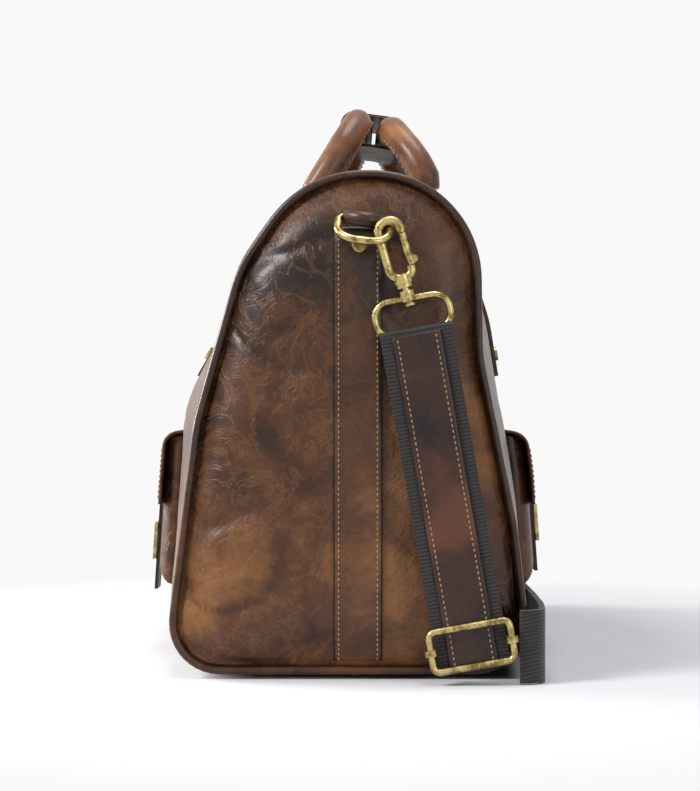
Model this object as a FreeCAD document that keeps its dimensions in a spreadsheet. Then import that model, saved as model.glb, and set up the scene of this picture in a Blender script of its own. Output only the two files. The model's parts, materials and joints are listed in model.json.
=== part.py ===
import FreeCAD, Part

import math
import os

from FreeCAD import Placement, Rotation, Vector

# Duffel bag. +X runs along the bag, +Z is up and the front side faces -Y.
# The origin is the underside of the middle base foot. Lengths are millimetres, angles degrees.

SIZES = {
    "seam_reach": (231.4, "middle of the bag to each end seam"),
    "bulge_reach": (140, "half of the stretch where the sides bulge fully"),
    "leather": (2.4, "thickness of the leather panels"),
    "clearance": (0.35, "gap between neighbouring soft pieces"),
    "floor_gap": (5, "height of the underside above the floor"),
    "base_rise": (33, "height where the side panels meet the base"),
    "piping_radius": (2.4, "radius of the piping round each end"),
    "puff": (18, "how far each end panel swells outwards"),
    "foot_radius": (7, "radius of a base foot"),
    "foot_spread_long": (185, "base feet from the middle, along the bag"),
    "foot_spread_wide": (70, "base feet from the middle, across the bag"),
    "board_length": (410, "length of the loose base board"),
    "board_width": (156, "width of the loose base board"),
    "board_thick": (2.5, "thickness of the loose base board"),
    "pocket_half": (120, "half length of a side pocket"),
    "pocket_low": (46, "bottom edge of a side pocket"),
    "pocket_top": (142, "mouth of a side pocket"),
    "pocket_depth": (12, "how far a side pocket stands out"),
    "flap_low": (98, "lower edge of a pocket flap"),
    "closure_place": (60, "closing straps from the middle of the pocket"),
    "closure_width": (24, "width of a closing strap"),
    "front_tip": (40, "lower tip of the front closing straps"),
    "back_tip": (52, "lower tip of the back closing straps"),
    "patch_place": (95, "handle patches from the middle of the bag"),
    "patch_width": (42, "width of a handle patch"),
    "patch_low": (180, "lower edge of a handle patch"),
    "patch_top": (294, "upper edge of a handle patch"),
    "handle_radius": (9.6, "radius of a rolled handle"),
    "wrap_half": (45, "half length of the handle wrap"),
    "wrap_thick": (1.6, "thickness of the handle wrap"),
    "zip_line": (20, "sideways place of the zip"),
    "zip_level": (294.6, "height of the top of the zip tape"),
    "mouth_half": (188, "half length of the opening part of the zip"),
    "mouth_wide": (18, "zip line to the fold line of each mouth strip"),
    "strip_thick": (2.2, "thickness of a mouth strip"),
    "teeth_tall": (2.8, "height of the zip teeth"),
    "slider_park": (200, "middle of the zip slider when it is parked"),
    "pull_length": (24, "length of the zip pull"),
    "end_strap_width": (27, "width of the strap down each end panel"),
    "end_strap_place": (4.7, "sideways place of the end straps"),
    "end_strap_low": (11, "lower end of the end straps"),
    "end_strap_top": (268, "upper end of the end straps"),
    "chape_out": (247.7, "chape axis from the middle of the bag"),
    "chape_level": (269, "height of the chape axis"),
    "chape_radius": (4.6, "outer radius of the chape loop"),
    "chape_half": (11, "half length of the chape loop"),
    "chape_tilt": (7, "slope of the chape axis, down towards the back"),
    "ring_wire": (2.3, "radius of the D-ring's wire"),
    "ring_half": (15, "half width of the D-ring, to the wire's middle"),
    "ring_depth": (22, "depth of the D-ring, to the wire's middle"),
    "ring_droop": (38, "how far the D-ring hangs below level"),
    "hook_tilt": (15.5, "lean of the snap hook from upright"),
    "hook_wire": (2.6, "radius of the snap hook's bow"),
    "loop_wire": (1.9, "radius of the swivel loop's wire"),
    "loop_half": (21.9, "half width of the swivel loop, to the wire's middle"),
    "strap_tilt": (10, "lean of the hanging shoulder strap from upright"),
    "strap_width": (42, "width of the shoulder strap's webbing"),
    "strap_web": (1.6, "thickness of the webbing"),
    "strap_face": (28, "width of the leather strip on the webbing"),
    "strap_face_thick": (1.8, "thickness of the leather strip"),
    "side_route": (115, "middle of the strap where it lies along the back side"),
    "buckle_wide": (47.2, "slide buckle's width, to the wire's middle"),
    "buckle_tall": (23.2, "slide buckle's height, to the wire's middle"),
    "buckle_wire": (2.1, "radius of the slide buckle's wire"),
    "rivet_head": (4.3, "radius of a rivet head"),
}

DOC = FreeCAD.newDocument("DuffelBag")
SHEET = DOC.addObject("Spreadsheet::Sheet", "Dimensions")
for row, (alias, (value, meaning)) in enumerate(SIZES.items(), start=1):
    SHEET.set(f"A{row}", meaning)
    SHEET.set(f"B{row}", str(value))
    SHEET.setAlias(f"B{row}", alias)
DOC.recompute()

NODES = []
X_AXIS = Vector(1, 0, 0)
Y_AXIS = Vector(0, 1, 0)
Z_AXIS = Vector(0, 0, 1)
ENDS = {"right": 1, "left": -1}
SIDES = {"front": -1, "back": 1}


def size(alias):
    """The value of a driving dimension."""
    return float(getattr(SHEET, alias))


def keep(obj, label):
    """Names a finished sub-part and lists it for export."""
    obj.Label = label
    NODES.append(obj)
    return obj


def keep_shape(label, shape, placement=None):
    """A sub-part whose soft or bent form no primitive has."""
    feature = DOC.addObject("Part::Feature", label)
    feature.Shape = shape
    if placement:
        feature.Placement = placement
    return keep(feature, label)


def bind(obj, **expressions):
    """Ties an object's sizes and place to the spreadsheet."""
    paths = {"x": "Placement.Base.x", "y": "Placement.Base.y", "z": "Placement.Base.z"}
    for name, expression in expressions.items():
        obj.setExpression(paths.get(name, name), expression)
    return obj


def plate(name, **expressions):
    """A box whose Length, Width, Height, x, y and z are spreadsheet expressions."""
    return bind(DOC.addObject("Part::Box", name), **expressions)


def stud(name, **expressions):
    """A cylinder whose Radius, Height, x, y and z are spreadsheet expressions."""
    return bind(DOC.addObject("Part::Cylinder", name), **expressions)


def join(kind, name, pieces):
    """One object from several: Part::MultiFuse or Part::Compound."""
    result = DOC.addObject(kind, name)
    if kind == "Part::Compound":
        result.Links = pieces
    else:
        result.Shapes = pieces
    return result


def space(x, y, z):
    """A plain block between two limits on each axis, for cutting shapes to length."""
    low = Vector(x[0], y[0], z[0])
    return Part.makeBox(x[1] - x[0], y[1] - y[0], z[1] - z[0], low)


def mirrored(shape, side):
    """The shape at the right end, or its mirror image at the left end."""
    return shape if side > 0 else shape.mirror(Vector(0, 0, 0), X_AXIS)


# ---- rounded paths and tubes ----


def rounded_path(corners, closed=False):
    """Straight runs joined by tangent arcs; corners are (point, radius) pairs."""
    count = len(corners)
    runs = []
    for index, (point, radius) in enumerate(corners):
        if not closed and index in (0, count - 1):
            runs.append((point, None, point))
            continue
        before = (corners[index - 1][0] - point).normalize()
        after = (corners[(index + 1) % count][0] - point).normalize()
        half = before.getAngle(after) / 2
        reach = radius / math.tan(half)
        inward = (before + after).normalize()
        middle = point + inward * (radius / math.sin(half) - radius)
        runs.append((point + before * reach, middle, point + after * reach))
    edges = []
    for index, (start, middle, end) in enumerate(runs):
        if middle is not None:
            edges.append(Part.Arc(start, middle, end).toShape())
        if closed or index < count - 1:
            edges.append(Part.makeLine(end, runs[(index + 1) % count][0]))
    return Part.Wire(edges)


def tube(path, radius):
    """A round bar along a path."""
    start = path.OrderedEdges[0]
    at = start.valueAt(start.FirstParameter)
    along = start.tangentAt(start.FirstParameter)
    ring = Part.Wire(Part.makeCircle(radius, at, along))
    return path.makePipeShell([ring], True, True)


def bar(start, end, radius):
    """A straight round bar between two points."""
    return Part.makeCylinder(radius, (end - start).Length, start, end - start)


# ---- the bag's soft outer form ----

# Corners of the cross-section as (y, z, radius), anticlockwise seen from +X. The top leans back.
END_CORNERS = [
    (106, "floor", 28),
    (96, 90, 150),
    (76, 190, 100),
    (74, 297, 62),
    (-26, 297, 66),
    (-64, 243, 70),
    (-90, 150, 120),
    (-108, "floor", 28),
]
MIDDLE_CORNERS = [
    (110, "floor", 30),
    (102, 120, 150),
    (87, 215, 100),
    (60, 297, 50),
    (-8, 297, 60),
    (-58, 242, 70),
    (-104, 165, 90),
    (-114, "floor", 30),
]


def section_corners(share, offset):
    """Corners between the end (0) and middle (1) cross-section, moved outwards by an offset."""
    points = []
    for low, high in zip(END_CORNERS, MIDDLE_CORNERS):
        y = low[0] + (high[0] - low[0]) * share
        z = size("floor_gap") if low[1] == "floor" else low[1] + (high[1] - low[1]) * share
        points.append((Vector(0, y, z), low[2] + (high[2] - low[2]) * share))
    count = len(points)
    moved = []
    for index, (point, radius) in enumerate(points):
        incoming = (point - points[index - 1][0]).normalize()
        outgoing = (points[(index + 1) % count][0] - point).normalize()
        normal_in = Vector(0, incoming.z, -incoming.y)
        normal_out = Vector(0, outgoing.z, -outgoing.y)
        shift = (normal_in + normal_out) * (offset / (1 + normal_in.dot(normal_out)))
        turn = incoming.y * outgoing.z - incoming.z * outgoing.y
        moved.append((point + shift, radius + (offset if turn > 0 else -offset)))
    return moved


def section(x, share, offset):
    """The closed cross-section wire at a place along the bag."""
    wire = rounded_path(section_corners(share, offset), closed=True)
    wire.translate(Vector(x, 0, 0))
    return wire


FORMS = {}


def form(offset):
    """The solid inside the bag's surface when that surface is moved outwards by an offset."""
    if offset not in FORMS:
        reach = size("seam_reach") + 6
        bulge = size("bulge_reach")
        stations = [(-reach, 0), (-bulge, 0.94), (0, 1), (bulge, 0.94), (reach, 0)]
        wires = [section(x, share, offset) for x, share in stations]
        FORMS[offset] = Part.makeLoft(wires, True, False)
    return FORMS[offset]


def skin(inner, outer, block):
    """The layer between two offsets of the bag's surface, within a block."""
    return form(outer).cut(form(inner)).common(block)


def dome(shift):
    """The swollen form outside the right end seam, moved outwards by a shift."""
    seam = size("seam_reach") - size("piping_radius") + shift
    middle = Vector(0, 0, 140)
    wires = []
    for rise, scale in [(0, 1), (0.5, 0.9), (0.85, 0.7), (1, 0.4)]:
        wire = section(0, 0, -size("piping_radius") - 0.5)
        matrix = FreeCAD.Matrix()
        matrix.move(middle * -1)
        matrix.scale(1, scale, scale)
        matrix.move(middle + Vector(seam + size("puff") * rise, 0, 0))
        wires.append(wire.transformGeometry(matrix))
    return Part.makeLoft(wires, True, False)


# ---- body of the bag ----


def build_panels():
    """Base, front and back panels, and the fixed leather at each end of the zip."""
    leather = size("leather")
    gap = size("clearance")
    reach = size("seam_reach") - size("piping_radius") - gap
    rise = size("base_rise")
    fold = size("mouth_wide")
    line = size("zip_line")
    whole = (-reach, reach)
    far = 200
    keep_shape("base_panel", skin(-leather, 0, space(whole, (-far, far), (0, rise))))
    front = space(whole, (-far, line - fold - gap), (rise + gap, 400))
    back = space(whole, (line + fold + gap, far), (rise + gap, 400))
    keep_shape("front_panel", skin(-leather, 0, front))
    keep_shape("back_panel", skin(-leather, 0, back))
    slot = space((-far * 2, far * 2), (line - 7, line + 7), (200, 400))
    for name, side in ENDS.items():
        inner = size("mouth_half") + gap
        block = space((inner, reach), (line - fold, line + fold), (200, 400))
        shape = skin(-leather, 0, block).cut(slot)
        keep_shape(f"zip_end_{name}", mirrored(shape, side))


def build_ends():
    """Swollen end panels and the piping round them."""
    for name, side in ENDS.items():
        panel = dome(0).cut(dome(-size("leather")))
        keep_shape(f"end_panel_{name}", mirrored(panel, side))
        ring = tube(section(size("seam_reach"), 0, 0), size("piping_radius"))
        keep_shape(f"end_piping_{name}", mirrored(ring, side))


def build_lining():
    """Thin closed lining with its mouth under the zip."""
    reach = size("seam_reach") - size("piping_radius") - 3
    outer = form(-3.8).common(space((-reach, reach), (-200, 200), (0, 400)))
    inner = form(-4.6).common(space((1 - reach, reach - 1), (-200, 200), (0, 400)))
    line = size("zip_line")
    mouth = space((-reach - 5, reach + 5), (line - 34, line + 34), (200, 400))
    keep_shape("lining", outer.cut(inner).cut(mouth))


def sketch_on(body, name, role):
    """A sketch on one of a body's own origin planes."""
    sketch = body.newObject("Sketcher::SketchObject", name)
    plane = [item for item in body.Origin.OriginFeatures if item.Role == role][0]
    sketch.AttachmentSupport = (plane, "")
    sketch.MapMode = "FlatFace"
    return sketch


def draw_rectangle(sketch, width, height, corner):
    """A centred rectangle with rounded corners, in a sketch."""
    across = width / 2
    up = height / 2
    points = [(across, up), (-across, up), (-across, -up), (across, -up)]
    wire = rounded_path([(Vector(a, b, 0), corner) for a, b in points], closed=True)
    sketch.addGeometry([bounded_curve(edge) for edge in wire.OrderedEdges], False)


def bounded_curve(edge):
    """An edge as the bounded curve that a sketch takes."""
    if isinstance(edge.Curve, Part.Line):
        return Part.LineSegment(edge.Vertexes[0].Point, edge.Vertexes[-1].Point)
    return Part.ArcOfCircle(edge.Curve, edge.FirstParameter, edge.LastParameter)


def padded_body(name, outline, thickness, placement):
    """A PartDesign body: rounded rectangles (width, height, corner) padded to a thickness."""
    body = DOC.addObject("PartDesign::Body", name)
    sketch = sketch_on(body, f"{name}_sketch", "XY_Plane")
    for width, height, corner in outline:
        draw_rectangle(sketch, width, height, corner)
    pad = body.newObject("PartDesign::Pad", f"{name}_pad")
    pad.Profile = sketch
    pad.setExpression("Length", thickness)
    sketch.Visibility = False
    body.Placement = placement
    return keep(body, name)


def build_base():
    """Loose board inside and five feet underneath."""
    outline = [(size("board_length"), size("board_width"), 25)]
    level = Vector(0, 0, size("floor_gap") + 5.2)
    padded_body("base_board", outline, "Dimensions.board_thick", Placement(level, Rotation()))
    feet = []
    for across in (-1, 0, 1):
        for along in (-1, 1) if across else (0,):
            feet.append(stud(
                f"foot_{len(feet)}",
                Radius="Dimensions.foot_radius",
                Height="Dimensions.floor_gap",
                x=f"Dimensions.foot_spread_long * {along}",
                y=f"Dimensions.foot_spread_wide * {across}",
            ))
    keep(join("Part::Compound", "base_feet", feet), "base_feet")


def build_pocket(name, side):
    """Side pocket, its flap, and the closing straps with their buckles."""
    half = size("pocket_half")
    low = size("pocket_low")
    top = size("pocket_top")
    depth = size("pocket_depth")
    leather = size("leather")
    gap = size("clearance")
    sideways = (20, 200) if side > 0 else (-200, -20)

    def block(reach, bottom, upper):
        return space((-reach, reach), sideways, (bottom, upper))

    wall = skin(gap, depth, block(half, low, top))
    hollow = skin(gap + 2, depth - 2, block(half - 2, low + 2, top + 5))
    keep_shape(f"pocket_{name}", wall.cut(hollow))

    lid_top = top + 1.4 + leather
    cover = skin(depth + gap, depth + gap + leather, block(half + 2, size("flap_low"), lid_top))
    lid = skin(gap, depth + gap + leather, block(half + 2, top + 1.4, lid_top))
    keep_shape(f"pocket_flap_{name}", cover.fuse(lid).removeSplitter())

    start = depth + gap * 2 + leather
    straps = []
    buckles = []
    for place in (-size("closure_place"), size("closure_place")):
        reach = size("closure_width") / 2
        tip = size(f"{name}_tip")
        length = space((place - reach, place + reach), sideways, (tip, top - 4))
        straps.append(skin(start, start + 2, length))
        frame = space((place - reach - 3, place + reach + 3), sideways, (tip + 20, tip + 44))
        window = space((place - reach + 1, place + reach - 1), sideways, (tip + 24, tip + 40))
        buckles.append(skin(start + 2.2, start + 4.2, frame).cut(window))
    keep_shape(f"closing_straps_{name}", Part.makeCompound(straps))
    keep_shape(f"closing_buckles_{name}", Part.makeCompound(buckles))


def surface_point(along, height, side, offset):
    """A point on the bag's side, when its surface is moved outwards by an offset."""
    level = Part.makeLine(Vector(along, 5 * side, height), Vector(along, 300 * side, height))
    inside = form(offset).common(level)
    return max((vertex.Point for vertex in inside.Vertexes), key=lambda point: point.y * side)


def build_patches(name, side):
    """Anchor patches for one handle, with their rivets."""
    gap = size("clearance")
    sideways = (40, 200) if side > 0 else (-200, -12)
    patches = []
    rivets = []
    for place in (-size("patch_place"), size("patch_place")):
        reach = size("patch_width") / 2
        block = space((place - reach, place + reach), sideways, (size("patch_low"), size("patch_top")))
        patches.append(skin(gap, gap + 2.2, block))
        for shift in (-12, 12):
            low = surface_point(place + shift, size("patch_low") + 10, side, gap + 2.2)
            high = surface_point(place + shift, size("patch_low") + 18, side, gap + 2.2)
            outward = (high - low).cross(X_AXIS).normalize() * side
            base = (low + high) * 0.5 + outward * 0.3
            rivets.append(Part.makeCylinder(size("rivet_head"), 1.6, base, outward))
    keep_shape(f"handle_patches_{name}", Part.makeCompound(patches))
    keep_shape(f"patch_rivets_{name}", Part.makeCompound(rivets))


def build_handles():
    """Two rolled handles, and the wrap that holds their grips together."""
    place = size("patch_place")
    routes = {
        "front": [(-26, 295), (-9, 322), (4.7, 348)],
        "back": [(51.6, 303.3), (44.5, 320), (28, 343)],
    }
    for name, (base, knee, grip) in routes.items():
        half = [
            (Vector(place, *base), 0),
            (Vector(place - 2, *knee), 45),
            (Vector(place - 20, *grip), 22),
        ]
        other = [(Vector(-point.x, point.y, point.z), radius) for point, radius in reversed(half)]
        roll = tube(rounded_path(half + other), size("handle_radius"))
        balls = [Part.makeSphere(size("handle_radius"), point) for point in (half[0][0], other[-1][0])]
        keep_shape(f"handle_{name}", roll.multiFuse(balls).removeSplitter())

    near = Vector(0, *routes["front"][2])
    far = Vector(0, *routes["back"][2])
    inner = size("handle_radius") + 0.5
    half = size("wrap_half")

    def stadium(radius):
        """A bar round both grips."""
        across = (far - near).normalize()
        up = X_AXIS.cross(across) * radius
        points = [near + up, far + up, far + across * radius, far - up, near - up, near - across * radius]
        edges = [
            Part.makeLine(points[0], points[1]),
            Part.Arc(points[1], points[2], points[3]).toShape(),
            Part.makeLine(points[3], points[4]),
            Part.Arc(points[4], points[5], points[0]).toShape(),
        ]
        solid = Part.Face(Part.Wire(edges)).extrude(X_AXIS * (half * 2))
        solid.translate(Vector(-half, 0, 0))
        return solid

    keep_shape("handle_wrap", stadium(inner + size("wrap_thick")).cut(stadium(inner)))
    up = X_AXIS.cross((far - near).normalize())
    crown = (near + far) * 0.5 + up * (inner + size("wrap_thick") + 0.1)
    keep_shape("wrap_snap", Part.makeCylinder(6, 1.6, crown, up))


# ---- zip ----


def build_mouth(name, side):
    """One half of the mouth: leather strip, zip tape and a row of teeth."""
    line = "Dimensions.zip_line"
    span = "Dimensions.mouth_half * 2"
    start = "-Dimensions.mouth_half"

    def between(inner, outer):
        """Expressions for the width and place between two distances from the zip line."""
        low = f"{line} + {inner}" if side > 0 else f"{line} - ({outer})"
        return {"Width": f"({outer}) - ({inner})", "y": low}

    strip = plate(
        f"mouth_strip_{name}", Length=span, Height="Dimensions.strip_thick",
        x=start, z="Dimensions.zip_level", **between("8", "Dimensions.mouth_wide"),
    )
    tape = plate(
        f"zip_tape_{name}", Length=span, Height="0.8 mm",
        x=start, z="Dimensions.zip_level - 0.8", **between("3.2", "Dimensions.mouth_wide - 4"),
    )
    teeth = plate(
        f"zip_teeth_{name}", Length=span, Height="Dimensions.teeth_tall",
        x=start, z="Dimensions.zip_level - 1.8", **between("0.6", "3.2"),
    )
    for piece, label in ((strip, "mouth_strip"), (tape, "zip_tape"), (teeth, "zip_teeth")):
        keep(piece, f"{label}_{name}")


def build_chain_ends():
    """The short fixed lengths of closed chain where the slider parks."""
    for name, side in ENDS.items():
        rows = []
        for number, across in enumerate((0.6, -3.2)):
            inner = "Dimensions.mouth_half + Dimensions.clearance"
            start = inner if side > 0 else f"-({inner}) - 36"
            rows.append(plate(
                f"chain_end_{name}_{number}", Length="36", Width="2.6",
                Height="Dimensions.teeth_tall", x=start,
                y=f"Dimensions.zip_line + {across}", z="Dimensions.zip_level - 1.8",
            ))
        keep(join("Part::Compound", f"zip_chain_end_{name}", rows), f"zip_chain_end_{name}")


def build_slider():
    """Slider round the chain, and the pull on its bail."""
    park = "Dimensions.slider_park"
    line = "Dimensions.zip_line"
    level = "Dimensions.zip_level"
    parts = [
        plate("slider_top", Length="14", Width="12", Height="1.8",
              x=f"{park} - 7", y=f"{line} - 6", z=f"{level} + 1.4"),
        plate("slider_bottom", Length="14", Width="10", Height="1.6",
              x=f"{park} - 7", y=f"{line} - 5", z=f"{level} - 3.8"),
        plate("slider_post", Length="5", Width="0.7", Height="5.2",
              x=f"{park} + 1", y=f"{line} - 0.35", z=f"{level} - 3"),
        plate("slider_lug_near", Length="5", Width="1.4", Height="4",
              x=f"{park} - 3", y=f"{line} - 4.4", z=f"{level} + 3"),
        plate("slider_lug_far", Length="5", Width="1.4", Height="4",
              x=f"{park} - 3", y=f"{line} + 3", z=f"{level} + 3"),
    ]
    keep(join("Part::MultiFuse", "zip_slider", parts), "zip_slider")
    pull = [
        plate("pull_tab", Length="Dimensions.pull_length", Width="5.6", Height="1.6",
              x=f"{park} - Dimensions.pull_length", y=f"{line} - 2.8", z=f"{level} + 4.4"),
    ]
    keep(join("Part::MultiFuse", "zip_pull", pull + [
        plate("pull_eye", Length="2.4", Width="5.6", Height="2.2",
              x=f"{park} - 1.8", y=f"{line} - 2.8", z=f"{level} + 4.1"),
    ]), "zip_pull")


# ---- metal and straps at each end ----


def chape_frame():
    """Placement of the chape axis: its own Y runs along the axis."""
    at = Vector(size("chape_out"), size("end_strap_place") + 4, size("chape_level"))
    return Placement(at, Rotation(X_AXIS, -size("chape_tilt")))


def build_end_strap(name, side):
    """Strap down the end panel, its chape loop, and the rivet under the D-ring."""
    gap = size("clearance")
    centre = size("end_strap_place")
    half = size("end_strap_width") / 2
    block = space((200, 300), (centre - half, centre + half), (size("end_strap_low"), size("end_strap_top")))
    strap = dome(gap + 2.4).cut(dome(gap)).common(block)
    length = size("chape_half")
    loop = Part.makeCylinder(size("chape_radius"), length * 2, Vector(0, -length, 0), Y_AXIS)
    bore = Part.makeCylinder(size("ring_wire") + 0.25, length * 4, Vector(0, -length * 2, 0), Y_AXIS)
    tongue = space((-7, -1.6), (-length, length), (-9, -3.4))
    loop = loop.fuse(tongue).cut(bore)
    loop.Placement = chape_frame()
    whole = strap.fuse(loop.cut(dome(gap))).removeSplitter()
    keep_shape(f"end_strap_{name}", mirrored(whole, side))
    rivet = Part.makeCylinder(size("rivet_head"), 2, Vector(248.2, centre + 0.6, 254), X_AXIS)
    stem = dome(gap + 2.6)
    keep_shape(f"end_rivet_{name}", mirrored(rivet.cut(stem), side))


def build_ring(name, side):
    """D-ring with its straight bar in the chape."""
    half = size("ring_half")
    depth = size("ring_depth")
    corners = [
        (Vector(0, -half, 0), 4),
        (Vector(depth, -half, 0), 11),
        (Vector(depth, half, 0), 11),
        (Vector(0, half, 0), 4),
    ]
    ring = tube(rounded_path(corners, closed=True), size("ring_wire"))
    ring.rotate(Vector(0, 0, 0), Y_AXIS, size("ring_droop"))
    ring.Placement = chape_frame().multiply(ring.Placement)
    keep_shape(f"d_ring_{name}", mirrored(ring, side))


def hook_frame():
    """Where the hook hangs on the D-ring: origin in the ring's wire, -Z down the hook."""
    droop = math.radians(size("ring_droop"))
    along = size("ring_depth") - 12
    local = Vector(along * math.cos(droop), size("ring_half"), -along * math.sin(droop))
    return Placement(chape_frame().multVec(local), Rotation(X_AXIS, size("hook_tilt")))


def loop_frame():
    """Middle of the swivel loop, turned with the hanging strap."""
    return Placement(hook_frame().multVec(Vector(0, 0, -50)), Rotation(X_AXIS, size("strap_tilt")))


def hook_top():
    """Height of the bow's top wire over the ring's wire, where the two cross."""
    return (size("ring_wire") + size("hook_wire") + 0.2) / math.cos(math.radians(size("ring_droop")))


def build_hook(name, side):
    """Snap hook: bow and swivel barrel, and the sprung gate."""
    wire = size("hook_wire")
    reach = 6.4
    top = hook_top()
    low = top - 34
    bow = rounded_path([
        (Vector(0, reach, top - 8.5), 0),
        (Vector(0, reach, top), 5.6),
        (Vector(0, -reach, top), 6),
        (Vector(0, -reach, low), 6),
        (Vector(0, reach, low), 4),
        (Vector(0, reach, low + 5.5), 0),
    ])
    barrel = bar(Vector(0, 0, low + 1), Vector(0, 0, low - 6), 4.8)
    collar = bar(Vector(0, 0, low - 1.5), Vector(0, 0, low - 3.5), 5.6)
    post = bar(Vector(0, 0, low - 5), Vector(0, 0, low - 16), 2)
    head = bar(Vector(0, 0, low - 15.2), Vector(0, 0, low - 16.8), 3.2)
    hook = tube(bow, wire).multiFuse([barrel, collar, post, head]).removeSplitter()
    hook.Placement = hook_frame()
    keep_shape(f"hook_{name}", mirrored(hook, side))

    lever = rounded_path([
        (Vector(0, reach, top - 9.1), 0),
        (Vector(0, reach + 0.4, low + 12), 20),
        (Vector(0, reach + 1.4, low + 6.1), 0),
    ])
    thumb = bar(Vector(-2.2, reach + 3.2, low + 9), Vector(2.2, reach + 3.2, low + 9), 2.2)
    gate = tube(lever, wire - 0.2).fuse(thumb).removeSplitter()
    gate.Placement = hook_frame()
    keep_shape(f"hook_gate_{name}", mirrored(gate, side))

    half = size("loop_half")
    rise = 10
    corners = [(Vector(0, a * half, b * rise), 9) for a, b in ((1, 1), (-1, 1), (-1, -1), (1, -1))]
    ring = tube(rounded_path(corners, closed=True), size("loop_wire"))
    ring.Placement = loop_frame()
    boss = bar(Vector(0, 0, low - 7.9), Vector(0, 0, low - 14.1), 4.4)
    boss.Placement = hook_frame()
    bore = bar(Vector(0, 0, low), Vector(0, 0, low - 30), 2.05)
    bore.Placement = hook_frame()
    keep_shape(f"swivel_loop_{name}", mirrored(ring.fuse(boss).cut(bore).removeSplitter(), side))


def strap_frame():
    """Top of the hanging strap: -Z runs down the strap, +X out of its face."""
    foot = loop_frame().multVec(Vector(0, 0, -10))
    front = foot + Vector(size("loop_wire") + 0.4, 0, 0)
    return Placement(front, Rotation(X_AXIS, size("strap_tilt")))


def strap_drop():
    """Length of the hanging strap, from the loop down to just above the floor."""
    lean = math.radians(size("strap_tilt"))
    low = 1.5 + size("strap_width") / 2 * math.sin(lean)
    return (strap_frame().Base.z - low) / math.cos(lean) - 3


def build_hanging_strap(name, side):
    """Webbing folded round the swivel loop, with the leather strip on its face."""
    half = size("strap_width") / 2
    web = size("strap_web")
    face = size("strap_face") / 2
    drop = strap_drop()
    inset = -size("loop_wire") - 0.4
    webbing = space((0, web), (-half, half), (-drop, 0))
    outer = bar(Vector(inset, -half, 0), Vector(inset, half, 0), size("loop_wire") + 0.4 + web)
    inner = bar(Vector(inset, -half, 0), Vector(inset, half, 0), size("loop_wire") + 0.4)
    link = space((inset, web), (-half, half), (-3.9, -2.3))
    fold = webbing.multiFuse([outer, link]).cut(inner).removeSplitter()
    ring_room = space((inset - 2.5, inset + 2.5), (-half - 1, half + 1), (-2.3, 9))
    fold = fold.cut(ring_room)
    fold.Placement = strap_frame()
    keep_shape(f"strap_webbing_{name}", mirrored(fold, side))
    strip = space((web, web + size("strap_face_thick")), (-face, face), (-drop, -1))
    strip.Placement = strap_frame()
    keep_shape(f"strap_leather_{name}", mirrored(strip, side))


def build_side_strap():
    """The rest of the shoulder strap, standing on its edge along the back of the bag."""
    thick = size("strap_web") + size("strap_face_thick")
    outer = strap_frame().Base.x + thick / 2
    start = strap_frame().multVec(Vector(0, size("strap_width") / 2, -strap_drop())).y + 4.8
    run = size("side_route")
    corners = [
        (Vector(outer, start, 0), 0),
        (Vector(outer, 111, 0), 14),
        (Vector(210, 114, 0), 60),
        (Vector(140, run, 0), 60),
    ]
    corners += [(Vector(-point.x, point.y, 0), radius) for point, radius in reversed(corners)]
    centre = rounded_path(corners)
    profile = Part.makePolygon([
        Vector(outer - thick / 2, start, 1), Vector(outer + thick / 2, start, 1),
        Vector(outer + thick / 2, start, 1 + size("strap_width")),
        Vector(outer - thick / 2, start, 1 + size("strap_width")),
        Vector(outer - thick / 2, start, 1),
    ])
    centre.translate(Vector(0, 0, 1))
    keep_shape("strap_side_run", centre.makePipeShell([profile], True, False))


def build_slide_buckle():
    """Slide buckle on the near drop: a wire frame in front and a loose bar behind."""
    wide = size("buckle_wide")
    tall = size("buckle_tall")
    wire = size("buckle_wire")
    front = size("strap_web") + size("strap_face_thick") + wire + 0.3
    middle = -(strap_drop() - tall / 2 - wire - 1)
    corners = [
        (Vector(front, a * wide / 2, middle + b * tall / 2), 4)
        for a, b in ((1, 1), (-1, 1), (-1, -1), (1, -1))
    ]
    frame = tube(rounded_path(corners, closed=True), wire)
    frame.Placement = strap_frame()
    keep_shape("slide_buckle", frame)
    back = -wire - 0.2
    pieces = [bar(Vector(back, -wide / 2, middle), Vector(back, wide / 2, middle), 1.8)]
    for across in (-wide / 2, wide / 2):
        eye = bar(Vector(front, across, middle - 1.8), Vector(front, across, middle + 1.8), wire + 1.6)
        arm = space((back, front), (across - 1.8, across + 1.8), (middle - 1.8, middle + 1.8))
        hole = bar(Vector(front, across, middle - 5), Vector(front, across, middle + 5), wire + 0.2)
        pieces.append(eye.fuse(arm).cut(hole))
    centre_bar = pieces[0].multiFuse(pieces[1:]).removeSplitter()
    centre_bar.Placement = strap_frame()
    keep_shape("slide_buckle_bar", centre_bar)


# ---- checks and export ----


def check_nodes():
    """Stops the script when an object failed or a sub-part isn't sound."""
    for obj in DOC.Objects:
        if {"Invalid", "Error"} & set(obj.State):
            raise RuntimeError(f"{obj.Label} failed: {obj.State}")
    for node in NODES:
        shape = node.Shape
        if shape.isNull() or not shape.isValid() or not shape.Solids:
            raise RuntimeError(f"{node.Label} has no valid solid")
        box = shape.BoundBox
        print(
            f"{node.Label:24s} solids {len(shape.Solids)} volume {shape.Volume / 1000:9.2f} cm3"
            f"  x {box.XMin:7.1f} {box.XMax:7.1f}  y {box.YMin:7.1f} {box.YMax:7.1f}"
            f"  z {box.ZMin:6.1f} {box.ZMax:6.1f}"
        )


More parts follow.
